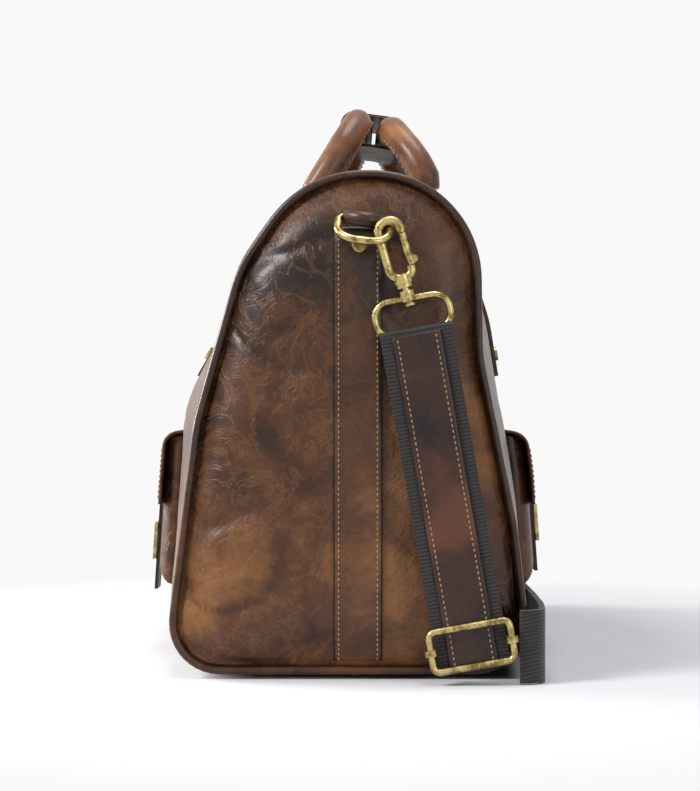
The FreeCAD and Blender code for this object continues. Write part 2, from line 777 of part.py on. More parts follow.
def main():
    """Builds every sub-part and writes it to parts/."""
    build_panels()
    build_ends()
    build_lining()
    build_base()
    for name, side in SIDES.items():
        build_pocket(name, side)
        build_patches(name, side)
        build_mouth(name, side)
    build_handles()
    build_chain_ends()
    build_slider()
    for name, side in ENDS.items():
        build_end_strap(name, side)
        build_ring(name, side)
        build_hook(name, side)
        build_hanging_strap(name, side)
    build_side_strap()
    build_slide_buckle()
    DOC.recompute()
    check_nodes()
    os.makedirs("parts", exist_ok=True)
    for node in NODES:
        node.Shape.exportStep(f"parts/{node.Label}.step")


main()
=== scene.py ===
"""Looks of a leather duffel bag: every visible piece, its materials, the light and the camera."""

import json
import logging
import math
from dataclasses import dataclass
from enum import Enum
from typing import Callable, Iterable, Sequence

import bmesh
import bpy
from mathutils import Matrix, Vector, noise
from mathutils.bvhtree import BVHTree


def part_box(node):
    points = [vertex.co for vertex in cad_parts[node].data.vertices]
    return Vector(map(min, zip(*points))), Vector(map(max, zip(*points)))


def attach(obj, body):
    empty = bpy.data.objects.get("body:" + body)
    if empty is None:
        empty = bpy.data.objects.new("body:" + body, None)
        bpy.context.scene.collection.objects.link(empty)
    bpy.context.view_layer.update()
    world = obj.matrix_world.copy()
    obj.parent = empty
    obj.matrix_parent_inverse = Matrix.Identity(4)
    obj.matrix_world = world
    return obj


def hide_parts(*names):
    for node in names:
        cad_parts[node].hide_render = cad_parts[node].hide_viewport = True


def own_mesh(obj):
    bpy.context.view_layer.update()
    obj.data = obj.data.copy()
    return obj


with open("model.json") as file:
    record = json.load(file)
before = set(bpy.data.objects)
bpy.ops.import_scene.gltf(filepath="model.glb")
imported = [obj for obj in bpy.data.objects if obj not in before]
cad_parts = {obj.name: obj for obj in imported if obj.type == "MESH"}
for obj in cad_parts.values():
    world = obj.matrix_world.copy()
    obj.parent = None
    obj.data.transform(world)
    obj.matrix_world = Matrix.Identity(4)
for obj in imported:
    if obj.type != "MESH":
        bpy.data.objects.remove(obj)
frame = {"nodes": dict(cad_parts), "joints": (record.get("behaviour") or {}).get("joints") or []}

LOG = logging.getLogger("duffel_bag")
Colour = tuple[float, float, float]
Line = Sequence[tuple[Vector, Vector]]
Profile = Callable[[float, int], tuple[float, float]]

X_AXIS = Vector((1, 0, 0))
Z_AXIS = Vector((0, 0, 1))
CREASE_SEED = 7  # the crease noise is seeded from the clock unless it is set


class End(Enum):
    """The two ends of the bag; the value is the sign of X."""

    RIGHT = 1
    LEFT = -1

    @property
    def word(self) -> str:
        """The end's word in node names."""
        return self.name.lower()


class Side(Enum):
    """The two long sides of the bag; the value is the sign of Y."""

    FRONT = -1
    BACK = 1

    @property
    def word(self) -> str:
        """The side's word in node names."""
        return self.name.lower()


# ---------------------------------------------------------------- node graphs


@dataclass
class Graph:
    """Short way to lay out shader nodes in a material or a node group."""

    tree: bpy.types.NodeTree

    def node(self, kind: str, sockets: dict | None = None, **settings) -> bpy.types.Node:
        """Adds a node.

        Args:
            kind: The node's class, without the ShaderNode prefix.
            sockets: Input name or index to a value or to another node's output.
            settings: Attributes of the node.

        Returns:
            The new node.
        """
        made = self.tree.nodes.new(kind if kind.startswith("Node") else f"ShaderNode{kind}")
        for name, value in settings.items():
            setattr(made, name, value)
        for name, value in (sockets or {}).items():
            if isinstance(value, bpy.types.NodeSocket):
                self.tree.links.new(value, made.inputs[name])
            else:
                made.inputs[name].default_value = value
        return made

    def link(self, value: bpy.types.NodeSocket, node: bpy.types.Node, name: str) -> None:
        """Joins an output to a node's named input."""
        self.tree.links.new(value, node.inputs[name])

    def bump(self, shader: bpy.types.Node, height, strength: float, distance: float) -> None:
        """Gives a shader a relief."""
        sockets = {"Height": height, "Strength": strength, "Distance": distance}
        self.link(self.node("Bump", sockets).outputs[0], shader, "Normal")

    def math(self, operation: str, first, second=0.0, clamp: bool = False):
        """The result of a Math node."""
        made = self.node("Math", {0: first, 1: second}, operation=operation, use_clamp=clamp)
        return made.outputs[0]

    def ramp(self, value, stops: Sequence[tuple[float, Colour]], smooth: bool = False):
        """The colour of a Color Ramp with the given stops."""
        made = self.node("ValToRGB", {0: value})
        bar = made.color_ramp
        bar.interpolation = "EASE" if smooth else "LINEAR"
        while len(bar.elements) < len(stops):
            bar.elements.new(0.5)
        for element, (place, colour) in zip(bar.elements, stops):
            element.position = place
            element.color = (*colour, 1)
        return made.outputs[0]

    def noise(self, vector, scale: float, detail: float = 4, rough: float = 0.55, warp: float = 0):
        """The factor of a Noise Texture."""
        sockets = {"Vector": vector, "Scale": scale, "Detail": detail, "Roughness": rough}
        return self.node("TexNoise", {**sockets, "Distortion": warp}).outputs[0]

    def mix(self, first, first_share: float, second, second_share: float):
        """The sum of two values, each times its share."""
        taken = self.math("MULTIPLY", first, first_share)
        return self.math("ADD", taken, self.math("MULTIPLY", second, second_share))

    def dot(self, vector, axis: tuple[float, float, float]):
        """How far a vector reaches along an axis."""
        made = self.node("VectorMath", {0: vector, 1: axis}, operation="DOT_PRODUCT")
        return made.outputs["Value"]

    def band(self, value, width: float):
        """1 where a value is near one half, falling to 0 over a width."""
        away = self.math("ABSOLUTE", self.math("SUBTRACT", value, 0.5))
        return self.math("SUBTRACT", 1.0, self.math("DIVIDE", away, width, clamp=True), clamp=True)


def linear(red: int, green: int, blue: int) -> Colour:
    """A display colour, 0 to 255, as scene-linear values."""
    values = []
    for part in (red, green, blue):
        share = part / 255
        values.append(share / 12.92 if share <= 0.04045 else ((share + 0.055) / 1.055) ** 2.4)
    return tuple(values)


def new_group(name: str, inputs: Sequence[tuple[str, str]], outputs: Sequence[tuple[str, str]]):
    """An empty node group with its sockets, and its Graph, input and output nodes."""
    group = bpy.data.node_groups.new(name, "ShaderNodeTree")
    for label, kind in inputs:
        group.interface.new_socket(label, in_out="INPUT", socket_type=kind)
    for label, kind in outputs:
        group.interface.new_socket(label, in_out="OUTPUT", socket_type=kind)
    graph = Graph(group)
    return group, graph, graph.node("NodeGroupInput"), graph.node("NodeGroupOutput")


def leather_group() -> bpy.types.NodeTree:
    """Shared pull-up leather effect: mottling, crease lines, worn highlights and height."""
    name = "pull_up_leather"
    if name in bpy.data.node_groups:
        return bpy.data.node_groups[name]
    group, graph, start, end = new_group(
        name,
        [("Vector", "NodeSocketVector"), ("Crumple", "NodeSocketFloat")],
        [("Tone", "NodeSocketFloat"), ("Lines", "NodeSocketFloat"), ("Height", "NodeSocketFloat")],
    )
    vector = start.outputs["Vector"]
    wide_clouds = graph.noise(vector, 7, 3, 0.5, 0.6)
    clouds = graph.noise(vector, 19, 5, 0.6, 0.9)
    blotches = graph.noise(vector, 52, 6, 0.66, 0.5)
    flecks = graph.noise(vector, 260, 4, 0.7)
    wide = graph.band(graph.noise(vector, 34, 5, 0.6, 0.8), 0.035)
    narrow = graph.band(graph.noise(vector, 120, 4, 0.6, 0.6), 0.06)
    patchy = graph.math("MULTIPLY", graph.math("SUBTRACT", clouds, 0.42), 5, clamp=True)
    lines = graph.math("MAXIMUM", wide, graph.math("MULTIPLY", narrow, patchy))
    lines = graph.math("MULTIPLY", lines, start.outputs["Crumple"])
    tone = graph.mix(clouds, 0.4, blotches, 0.15)
    tone = graph.math("ADD", tone, graph.math("MULTIPLY", wide_clouds, 0.35))
    tone = graph.math("ADD", tone, graph.math("MULTIPLY", flecks, 0.1))
    pores = graph.node("TexVoronoi", {"Vector": vector, "Scale": 900.0}, feature="F1")
    height = graph.mix(pores.outputs["Distance"], 0.10, graph.noise(vector, 480, 3, 0.6), 0.16)
    height = graph.math("ADD", height, graph.math("MULTIPLY", blotches, 0.5))
    height = graph.math("SUBTRACT", height, graph.math("MULTIPLY", lines, 0.55))
    graph.link(tone, end, "Tone")
    graph.link(lines, end, "Lines")
    graph.link(height, end, "Height")
    return group


def start_material(name: str) -> tuple[bpy.types.Material, Graph, bpy.types.Node]:
    """A material with an empty graph and its Principled node."""
    material = bpy.data.materials.new(name)
    material.use_nodes = True
    return material, Graph(material.node_tree), material.node_tree.nodes["Principled BSDF"]


@dataclass(frozen=True)
class Finish:
    """What every finish has: a name, and a material that is built once.

    Attributes:
        name: Material name.
        slot: The record's material slot; not used.
    """

    name: str
    slot: str

    def material(self) -> bpy.types.Material:
        """Builds the material, once."""
        label = f"{self.name}_finish"
        if label in bpy.data.materials:
            return bpy.data.materials[label]
        material, graph, shader = start_material(label)
        self.dress(graph, shader, graph.node("TexCoord").outputs["Object"])
        return material

    def dress(self, graph: Graph, shader: bpy.types.Node, place: bpy.types.NodeSocket) -> None:
        """Lays out the finish's nodes.

        Args:
            graph: The material's graph.
            shader: Its Principled node.
            place: The Object coordinates.
        """


@dataclass(frozen=True)
class LeatherFinish(Finish):
    """Leather with darker clouds, paler stretched places, fine creases, and painted shade in deep
    creases from the vertex attribute.

    Attributes:
        dark: Colour of the darkest clouds and of the painted shade in deep creases.
        middle: Main colour.
        light: Colour where the leather is stretched or worn.
        roughness: Roughness of the main surface.
        crumple: Strength of the crease lines.
        bump: Strength of the relief.
        coat: Weight of the polished top layer.
    """

    dark: Colour
    middle: Colour
    light: Colour
    roughness: float = 0.42
    crumple: float = 0.6
    bump: float = 0.5
    coat: float = 0.18

    def dress(self, graph: Graph, shader: bpy.types.Node, place: bpy.types.NodeSocket) -> None:
        """Lays out the finish's nodes."""
        effect = graph.node("Group", node_tree=leather_group())
        effect.inputs["Crumple"].default_value = self.crumple
        graph.link(place, effect, "Vector")
        tone = effect.outputs["Tone"]
        # The vertex attribute holds wear and, on crumpled panels, painted shade that darkens deep
        # creases.
        wear = graph.node("Attribute", attribute_name="wear").outputs["Fac"]
        tone = graph.math("ADD", tone, graph.math("MULTIPLY", wear, 0.26))
        colour = graph.ramp(
            tone,
            [(0.49, self.dark), (0.64, self.middle), (0.82, self.light)],
            smooth=True,
        )
        line_share = graph.math("MULTIPLY", effect.outputs["Lines"], 0.45)
        mixed = graph.node("Mix", {0: line_share, 6: colour, 7: (*self.light, 1)}, data_type="RGBA")
        graph.link(mixed.outputs[2], shader, "Base Color")
        gloss = graph.math("MULTIPLY", graph.math("SUBTRACT", tone, 0.5), 0.5)
        rough = graph.math("ADD", gloss, self.roughness, clamp=True)
        graph.link(rough, shader, "Roughness")
        graph.bump(shader, effect.outputs["Height"], self.bump, 0.0011)
        shader.inputs["Coat Weight"].default_value = self.coat
        shader.inputs["Coat Roughness"].default_value = 0.22
        shader.inputs["Specular IOR Level"].default_value = 0.28


@dataclass(frozen=True)
class MetalFinish(Finish):
    """Aged metal: darker in blotches, brushed, with polished high spots.

    Attributes:
        bright: Colour of the polished metal.
        aged: Colour of the tarnish.
        roughness: Roughness of the polished metal.
    """

    bright: Colour
    aged: Colour
    roughness: float = 0.3

    def dress(self, graph: Graph, shader: bpy.types.Node, place: bpy.types.NodeSocket) -> None:
        """Lays out the finish's nodes."""
        clouds = graph.noise(place, 120, 5, 0.6, 0.3)
        specks = graph.noise(place, 900, 3, 0.6)
        tone = graph.mix(clouds, 0.7, specks, 0.3)
        colour = graph.ramp(tone, [(0.38, self.aged), (0.56, self.bright)], smooth=True)
        graph.link(colour, shader, "Base Color")
        rough = graph.math("ADD", graph.math("MULTIPLY", specks, 0.25), self.roughness - 0.1)
        graph.link(rough, shader, "Roughness")
        stretched = graph.node("Mapping", {"Vector": place, "Scale": (900, 900, 120)}).outputs[0]
        brushed = graph.noise(stretched, 2.0, 2, 0.5)
        graph.bump(shader, brushed, 0.12, 0.0004)
        shader.inputs["Metallic"].default_value = 1.0


@dataclass(frozen=True)
class WovenFinish(Finish):
    """Woven cloth or webbing with ribs across its length.

    Attributes:
        dark: Colour between the ribs.
        light: Colour of the ribs.
        rib: Distance between ribs, in metres.
        axis: Direction across the ribs, in the row frame.
    """

    dark: Colour
    light: Colour
    rib: float = 0.0016
    axis: tuple[float, float, float] = (0, 0, 1)

    def dress(self, graph: Graph, shader: bpy.types.Node, place: bpy.types.NodeSocket) -> None:
        """Lays out the finish's nodes."""
        along = graph.dot(place, self.axis)
        skewed = graph.dot(place, (0.5, 1, 0.35))
        turn = 2 * math.pi / self.rib
        ribs = graph.math("SINE", graph.math("MULTIPLY", along, turn))
        slanted = graph.math("ADD", along, skewed)
        twill = graph.math("SINE", graph.math("MULTIPLY", slanted, turn * 0.9))
        weave = graph.math("ADD", graph.mix(ribs, 0.3, twill, 0.2), 0.5, clamp=True)
        fuzz = graph.noise(place, 1400, 3, 0.6)
        tone = graph.mix(weave, 0.75, fuzz, 0.25)
        colour = graph.ramp(tone, [(0.25, self.dark), (0.8, self.light)])
        graph.link(colour, shader, "Base Color")
        graph.bump(shader, tone, 0.6, 0.0005)
        shader.inputs["Roughness"].default_value = 0.85
        shader.inputs["Sheen Weight"].default_value = 0.25


@dataclass(frozen=True)
class ThreadFinish(Finish):
    """Waxed sewing thread with a fine twist."""

    colour: Colour

    def dress(self, graph: Graph, shader: bpy.types.Node, place: bpy.types.NodeSocket) -> None:
        """Lays out the finish's nodes."""
        twist = graph.noise(place, 1800, 2, 0.5)
        darker = tuple(part * 0.6 for part in self.colour)
        colour = graph.ramp(twist, [(0.35, darker), (0.6, self.colour)])
        graph.link(colour, shader, "Base Color")
        graph.bump(shader, twist, 0.5, 0.0003)
        shader.inputs["Roughness"].default_value = 0.6


PANEL = LeatherFinish(
    "panel_leather", "bag_leather", linear(34, 18, 11), linear(82, 48, 27), linear(146, 98, 56),
    roughness=0.34, crumple=0.6, bump=0.6, coat=0.15,
)
PIPING = LeatherFinish(
    "piping_leather", "piping_leather", linear(52, 31, 20), linear(88, 54, 32), linear(138, 92, 56),
    roughness=0.36, crumple=0.3, bump=0.25, coat=0.2,
)
STRAP = LeatherFinish(
    "strap_leather", "strap_leather", linear(24, 13, 10), linear(50, 28, 21), linear(98, 58, 42),
    roughness=0.34, crumple=0.25, bump=0.25, coat=0.2,
)
PATCH = LeatherFinish(
    "patch_leather", "patch_leather", linear(48, 31, 22), linear(92, 60, 39), linear(142, 98, 64),
    crumple=0.35,
)
HANDLE = LeatherFinish(
    "handle_leather", "handle_leather",
    linear(44, 25, 15), linear(98, 58, 33), linear(160, 106, 64),
    roughness=0.32, crumple=0.4, bump=0.3, coat=0.25,
)
WRAP = LeatherFinish(
    "wrap_leather", "wrap_leather", linear(22, 18, 17), linear(36, 30, 28), linear(66, 54, 47),
    roughness=0.4, crumple=0.3, bump=0.3,
)
BRASS = MetalFinish("antique_brass", "brass", linear(192, 174, 118), linear(112, 95, 56))
ZIP_BRASS = MetalFinish("zip_brass", "zip_brass", linear(206, 180, 112), linear(110, 92, 52))
WEBBING = WovenFinish(
    "ribbed_webbing", "webbing", linear(10, 9, 9), linear(62, 56, 52), 0.0022, (0, -0.17, 0.98)
)
TAPE = WovenFinish(
    "zip_tape_weave", "zip_tape", linear(22, 18, 16), linear(48, 40, 34), 0.001, (1, 0, 0)
)
LINING = WovenFinish(
    "lining_weave", "lining_cloth", linear(120, 98, 66), linear(170, 144, 104), 0.0012
)
BOARD = WovenFinish(
    "board_fibre", "board", linear(88, 68, 50), linear(120, 96, 74), 0.002, (1, 0, 0)
)
THREAD = ThreadFinish("tan_thread", "strap_leather", linear(190, 150, 108))
CUFF_INSIDE = LeatherFinish(
    "cuff_inside", "wrap_leather", linear(62, 38, 28), linear(112, 72, 52), linear(150, 104, 78),
    crumple=0.3, bump=0.3,
)
# Near-black edge paint; its tubes along the strap edges also stand in for the shade where the
# straps step down, so they are painted shade too.
EDGE_PAINT_AND_SHADE = LeatherFinish(
    "edge_paint", "strap_leather", linear(14, 9, 7), linear(26, 17, 13), linear(46, 31, 24),
    roughness=0.5, crumple=0.0, bump=0.1, coat=0.1,
)
STRAP_PANEL = LeatherFinish(
    "end_strap_leather", "strap_leather",
    linear(38, 22, 14), linear(80, 48, 28), linear(134, 90, 54),
    roughness=0.36, crumple=0.4, bump=0.4, coat=0.2,
)


# ---------------------------------------------------------------- mesh helpers


class Surface:
    """Shapes that rays can find: CAD nodes or finished pieces."""

    def __init__(self, objects: Iterable[bpy.types.Object]) -> None:
        """Collects the objects' meshes, as shown."""
        self.trees = []
        depsgraph = bpy.context.evaluated_depsgraph_get()
        for shown in objects:
            mesh = shown.evaluated_get(depsgraph).to_mesh()
            points = [shown.matrix_world @ vertex.co for vertex in mesh.vertices]
            faces = [tuple(face.vertices) for face in mesh.polygons]
            self.trees.append(BVHTree.FromPolygons(points, faces))
            shown.evaluated_get(depsgraph).to_mesh_clear()

    @classmethod
    def of_nodes(cls, *names: str) -> "Surface":
        """A surface made of CAD nodes."""
        return cls([frame["nodes"][name] for name in names])

    def hit(self, origin: Vector, direction: Vector) -> tuple[Vector, Vector] | None:
        """The nearest point on the surface along a ray, with the normal facing the ray."""
        found = None
        for tree in self.trees:
            place, normal, _, distance = tree.ray_cast(origin, direction)
            if place is not None and (found is None or distance < found[2]):
                found = (place, normal, distance)
        if found is None:
            return None
        place, normal, _ = found
        return place, normal if normal.dot(direction) < 0 else -normal


def finish_piece(
    mesh: bmesh.types.BMesh, name: str, finish: Finish, body: str, replaced: Sequence[str] = ()
) -> bpy.types.Object:
    """Turns a bmesh into a smooth-shaded piece with its material, body and replaced nodes.

    Args:
        mesh: The piece, in the row frame; it is freed.
        name: The piece's name.
        finish: The finish whose material it takes.
        body: The CAD body it rides on.
        replaced: CAD nodes that it stands for.

    Returns:
        The new object.
    """
    data = bpy.data.meshes.new(name)
    bmesh.ops.recalc_face_normals(mesh, faces=mesh.faces)
    mesh.to_mesh(data)
    mesh.free()
    data.shade_smooth()
    piece = bpy.data.objects.new(name, data)
    bpy.context.scene.collection.objects.link(piece)
    data.materials.append(finish.material())
    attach(piece, body)
    if replaced:
        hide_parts(*replaced)
    LOG.info("%s: %d faces", name, len(data.polygons))
    return piece


def thicken(piece: bpy.types.Object, depth: float) -> None:
    """Gives a sheet its thickness, inwards from its drawn face."""
    thickness = piece.modifiers.new("thickness", "SOLIDIFY")
    thickness.thickness = depth
    thickness.offset = -1


def paint(node: str, finish: Finish) -> None:
    """Gives a CAD node, whose shape stays, a better material."""
    shown = frame["nodes"][node]
    shown.data.materials.clear()
    shown.data.materials.append(finish.material())
    LOG.info("painted %s", node)


def add_rows(
    mesh: bmesh.types.BMesh, rows: Sequence[Sequence[Vector]], closed: bool = False
) -> list:
    """Bridges rows of points into a surface.

    Args:
        mesh: The bmesh to add to.
        rows: Point rows of equal length.
        closed: True when each row is a ring.

    Returns:
        The rows of new vertices.
    """
    made = [[mesh.verts.new(point) for point in row] for row in rows]
    for low, high in zip(made, made[1:]):
        bridge(mesh, low, high, len(low) if closed else len(low) - 1)
    return made


def bridge(mesh: bmesh.types.BMesh, low: Sequence, high: Sequence, spans: int) -> None:
    """Adds the faces between two rows of vertices."""
    for index in range(spans):
        after = (index + 1) % len(low)
        mesh.faces.new((low[index], low[after], high[after], high[index]))


def cap(mesh: bmesh.types.BMesh, ring: Sequence) -> None:
    """Closes a ring with a shallow fan."""
    middle = mesh.verts.new(sum((vertex.co for vertex in ring), Vector()) / len(ring))
    for index, vertex in enumerate(ring):
        mesh.faces.new((vertex, ring[(index + 1) % len(ring)], middle))


def smooth_line(points: Sequence[Vector], step: float, closed: bool = False) -> list[Vector]:
    """Points about a step apart on a smooth curve through the given ones."""
    count = len(points)
    result = []
    spans = count if closed else count - 1
    for index in range(spans):
        if closed:
            near = [points[(index + shift) % count] for shift in (-1, 0, 1, 2)]
        else:
            near = [points[min(max(index + shift, 0), count - 1)] for shift in (-1, 0, 1, 2)]
        pieces = max(1, round((near[2] - near[1]).length / step))
        for part in range(pieces):
            share = part / pieces
            result.append(
                0.5
                * (
                    2 * near[1]
                    + (near[2] - near[0]) * share
                    + (2 * near[0] - 5 * near[1] + 4 * near[2] - near[3]) * share**2
                    + (3 * near[1] - near[0] - 3 * near[2] + near[3]) * share**3
                )
            )
    if not closed:
        result.append(points[-1].copy())
    return result


def sweep(
    mesh: bmesh.types.BMesh,
    line: Sequence[Vector],
    profile: Profile,
    sides: int,
    up: Vector,
    closed: bool = False,
) -> None:
    """Sweeps a profile along a line.

    Args:
        mesh: The bmesh to add to.
        line: Points of the line.
        profile: Gives the sideways and upward offset for an angle and a point number.
        sides: Points round the profile.
        up: Direction that the profile's up is kept near.
        closed: True when the line is a ring.
    """
    rings = []
    count = len(line)
    for index, point in enumerate(line):
        if closed:
            along = (line[(index + 1) % count] - line[index - 1]).normalized()
        else:
            along = (line[min(index + 1, count - 1)] - line[max(index - 1, 0)]).normalized()
        sideways = along.cross(up).normalized()
        upward = sideways.cross(along).normalized()
        ring = []
        for corner in range(sides):
            across, rise = profile(2 * math.pi * corner / sides, index)
            ring.append(point + sideways * across + upward * rise)
        rings.append(ring)
    made = add_rows(mesh, rings, closed=True)
    if closed:
        bridge(mesh, made[-1], made[0], sides)
        return
    cap(mesh, made[0])
    cap(mesh, made[-1])


def round_profile(radius: float) -> Profile:
    """A plain round section."""
    return lambda angle, index: (radius * math.cos(angle), radius * math.sin(angle))


def flat_profile(width: float, thick: float, crown: float = 0.0) -> Profile:
    """A strap's section: flat faces with rounded edges, and an optional crown on top."""

    def offset(angle: float, index: int) -> tuple[float, float]:
        power = 0.18
        across = math.copysign(abs(math.cos(angle)) ** power, math.cos(angle)) * width / 2
        rise = math.copysign(abs(math.sin(angle)) ** 0.5, math.sin(angle)) * thick / 2
        if rise > 0:
            rise += crown * (1 - (2 * across / width) ** 2)
        return across, rise

    return offset


def add_stitches(
    mesh: bmesh.types.BMesh,
    line: Line,
    pitch: float = 0.0033,
    length: float = 0.0024,
    radius: float = 0.00042,
    slant: float = 0.0,
) -> None:
    """Adds one small thread loop after another along a line.

    Args:
        mesh: The bmesh to add to.
        line: Points with their outward normals.
        pitch: Distance between stitches.
        length: Length of one stitch.
        radius: Radius of the thread.
        slant: Turn of each stitch from the line, in radians.
    """
    travelled = 0.0
    wanted = pitch / 2
    for (here, normal), (there, _) in zip(line, line[1:]):
        span = (there - here).length
        while span > 0 and travelled + span >= wanted:
            place = here.lerp(there, (wanted - travelled) / span)
            along = (there - here).normalized()
            across = normal.cross(along).normalized()
            along = (along * math.cos(slant) + across * math.sin(slant)).normalized()
            across = normal.cross(along).normalized()
            turned = Matrix((along, across, normal)).transposed().to_4x4()
            size = Matrix.Diagonal((length / 2, radius * 1.25, radius, 1))
            matrix = Matrix.Translation(place + normal * radius * 0.45) @ turned @ size
            bmesh.ops.create_icosphere(mesh, subdivisions=1, radius=1, matrix=matrix)
            wanted += pitch
        travelled += span


def stitch_piece(name: str, lines: Sequence[Line], body: str, **shape) -> bpy.types.Object:
    """One piece holding the stitches of several lines."""
    mesh = bmesh.new()
    for line in lines:
        add_stitches(mesh, line, **shape)
    return finish_piece(mesh, name, THREAD, body)


def crease(place: Vector, scale: float, width: float) -> float:
    """How near a point is to a winding crease, from 0 to 1."""
    bent = place * scale + noise.noise_vector(place * scale * 1.7) * 0.55
    return math.exp(-((noise.noise(bent) / width) ** 2))


def crumple(point: Vector, seed: float, strength: float) -> tuple[float, float]:
    """Relief of soft leather at a point: its height in metres, and a colour value from 0 to 1 that
    holds random wear, paler on raised lumps, and painted shade that darkens the deep creases.
    """
    place = point + Vector((seed, seed * 0.7, -seed))
    broad = noise.noise(place * 8) * 0.0034 + noise.noise(place * 19) * 0.0017
    shown = max(0.0, 0.35 + noise.noise(place * 6 + Vector((4, 4, 4))))
    deep = crease(place, 9, 0.06) * 0.0022 * shown
    small = crease(place, 27, 0.09) * 0.0009 * max(0.0, 0.3 + noise.noise(place * 11))
    lumps = noise.noise(place * 46) * 0.0006
    height = (broad + lumps - deep * 1.3 - small) * strength
    # Colour value: random wear, paler on raised lumps, minus painted shade in the deep creases.
    wear_and_crease_shade = 0.5 + noise.noise(place * 13 + Vector((9, 2, 5))) * 0.55 + lumps * 220 - deep * 90
    return height, min(1.0, max(0.0, wear_and_crease_shade))


def gathers(around: float, inward: float, seed: float) -> float:
    """Short puckers that run inwards from a seam.

    Args:
        around: Distance along the seam, in metres.
        inward: Distance from the seam, in metres.
        seed: Moves the pattern.

    Returns:
        Height in metres.
    """
    fold = noise.noise(Vector((around * 95, inward * 14, seed)))
    patch = max(0.0, noise.noise(Vector((around * 9, seed, 3.0))) + 0.25)
    return fold * patch * 0.0024 * math.exp(-inward / 0.022)


def set_wear(mesh: bmesh.types.BMesh, values: dict) -> None:
    """Stores each vertex's wear, with painted crease shade where the values carry it, from 0 to 1,
    as the attribute that leather finishes read.
    """
    mesh.verts.index_update()
    numbered = {vertex.index: value for vertex, value in values.items()}
    layer = mesh.verts.layers.float.new("wear")
    mesh.verts.ensure_lookup_table()
    for index, value in numbered.items():
        mesh.verts[index][layer] = value


def set_grid_wear(mesh: bmesh.types.BMesh, rows: Sequence, wear_and_crease_shade: Iterable[float]) -> None:
    """Stores the wear and painted crease shade of rows of vertices, given as one list in the same
    order.
    """
    set_wear(mesh, dict(zip((vertex for row in rows for vertex in row), wear_and_crease_shade)))


# ---------------------------------------------------------------- studio


@dataclass
class Studio:
    """Camera, soft lights and pale floor.

    Attributes:
        distance: Camera to the near end seam, in metres.
        height: Camera height, in metres.
        lens: Focal length in millimetres on a 36 mm sensor.
        rise: Vertical shift of the view, as a share of its height.
    """

    distance: float = 1.3
    height: float = 0.16
    lens: float = 100.6
    rise: float = 0.0145

    def build(self) -> None:
        """Sets the camera and the world, and adds the lights and the floor."""
        scene = bpy.context.scene
        scene.view_settings.view_transform = "Standard"
        seam = (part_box("end_piping_right")[0].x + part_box("end_piping_right")[1].x) / 2
        data = bpy.data.cameras.new("camera")
        data.lens = self.lens
        data.sensor_width = 36
        data.shift_y = self.rise
        camera = bpy.data.objects.new("camera", data)
        camera.location = (seam + self.distance, 0, self.height)
        camera.rotation_euler = (math.pi / 2, 0, math.pi / 2)
        scene.collection.objects.link(camera)
        scene.camera = camera
        self.build_world(scene)
        self.add_light("key", (1.0, -1.35, 1.35), 30, 0.6)
        self.add_light("side", (-0.5, -1.7, 0.7), 38, 0.8)
        self.add_light("top", (0.2, 0.2, 1.9), 16, 0.9)
        self.add_light("fill", (1.7, 1.2, 0.6), 5, 0.8)
        self.build_floor(scene)

    def build_world(self, scene: bpy.types.Scene) -> None:
        """White for the camera, dimmer for the light on the object."""
        world = bpy.data.worlds.new("studio")
        world.use_nodes = True
        scene.world = world
        graph = Graph(world.node_tree)
        background = world.node_tree.nodes["Background"]
        path = graph.node("LightPath")
        lit = graph.node("Background", {"Color": (0.8, 0.86, 1, 1), "Strength": 0.32})
        background.inputs["Color"].default_value = (0.945, 0.945, 0.945, 1)
        background.inputs["Strength"].default_value = 1.0
        seen = graph.math("MAXIMUM", path.outputs["Is Camera Ray"], path.outputs["Is Glossy Ray"])
        seen = graph.math("MAXIMUM", seen, path.outputs["Is Transmission Ray"])
        mixed = graph.node("MixShader", {0: seen, 1: lit.outputs[0], 2: background.outputs[0]})
        output = world.node_tree.nodes["World Output"]
        graph.link(mixed.outputs[0], output, "Surface")

    def add_light(
        self, name: str, place: tuple[float, float, float], watts: float, width: float
    ) -> None:
        """Adds a square area light that faces the bag."""
        data = bpy.data.lights.new(name, "AREA")
        data.energy = watts
        data.size = width
        lamp = bpy.data.objects.new(name, data)
        lamp.location = place
        towards = Vector((0.1, 0, 0.16)) - Vector(place)
        lamp.rotation_euler = towards.to_track_quat("-Z", "Y").to_euler()
        bpy.context.scene.collection.objects.link(lamp)

    def build_floor(self, scene: bpy.types.Scene) -> None:
        """A wide pale floor that reads as white but takes a contact shadow."""
        mesh = bmesh.new()
        bmesh.ops.create_grid(mesh, x_segments=2, y_segments=2, size=6)
        data = bpy.data.meshes.new("floor")
        mesh.to_mesh(data)
        mesh.free()
        floor = bpy.data.objects.new("floor", data)
        scene.collection.objects.link(floor)
        material, graph, shader = start_material("pale_floor")
        place = graph.node("TexCoord").outputs["Object"]
        grain = graph.noise(place, 40, 3)
        colour = graph.ramp(grain, [(0.3, (0.78, 0.78, 0.78)), (0.7, (0.80, 0.80, 0.80))])
        graph.link(colour, shader, "Base Color")
        shader.inputs["Roughness"].default_value = 0.95
        shrunk = graph.node("Mapping", {"Vector": place, "Scale": (1.9, 2.7, 1)}).outputs[0]
        away = graph.node("VectorMath", {0: shrunk}, operation="LENGTH").outputs["Value"]
        share = graph.math("MULTIPLY", graph.math("SUBTRACT", away, 0.55), 1.6, clamp=True)
        clear = graph.node("BsdfTransparent")
        mixed = graph.node("MixShader", {0: share, 1: shader.outputs[0], 2: clear.outputs[0]})
        output = material.node_tree.nodes["Material Output"]
        graph.link(mixed.outputs[0], output, "Surface")
        data.materials.append(material)


# ---------------------------------------------------------------- body of the bag


